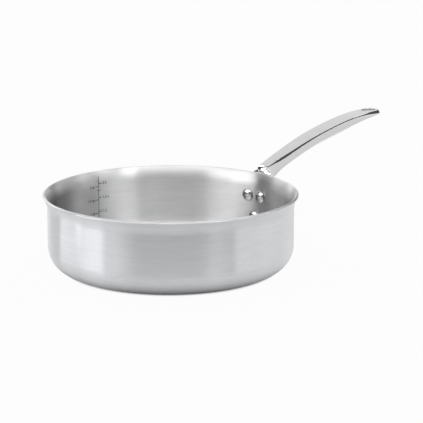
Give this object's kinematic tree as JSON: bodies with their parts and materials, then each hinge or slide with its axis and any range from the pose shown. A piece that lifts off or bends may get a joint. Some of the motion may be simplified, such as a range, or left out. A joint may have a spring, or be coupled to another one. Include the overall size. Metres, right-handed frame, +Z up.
{
  "type": "saute pan",
  "caption": "Straight-sided clad steel saute pan with a flared pouring lip, rounded base corner and a long cast handle riveted to the wall, with a hanging hole in its tail.",
  "frame": {"origin": "centre of the base, on the surface that the pan stands on", "axes": "+Z up along the axis of the body, +X out along the handle"},
  "size_m": [0.398, 0.23, 0.1099],
  "materials": {
    "outer_steel": "satin, brushed round the wall",
    "core_aluminium": "mill, seen only at the lip's edge",
    "inner_steel": "satin, brushed round the wall",
    "cast_steel": "polished",
    "rivet_steel": "mirror polished"
  },
  "bodies": {
    "root": {"outer_ply": "outer_steel", "core_ply": "core_aluminium", "inner_ply": "inner_steel", "handle": "cast_steel", "rivet_upper_left": "rivet_steel", "rivet_upper_right": "rivet_steel", "rivet_lower": "rivet_steel"}
  },
  "joints": []
}
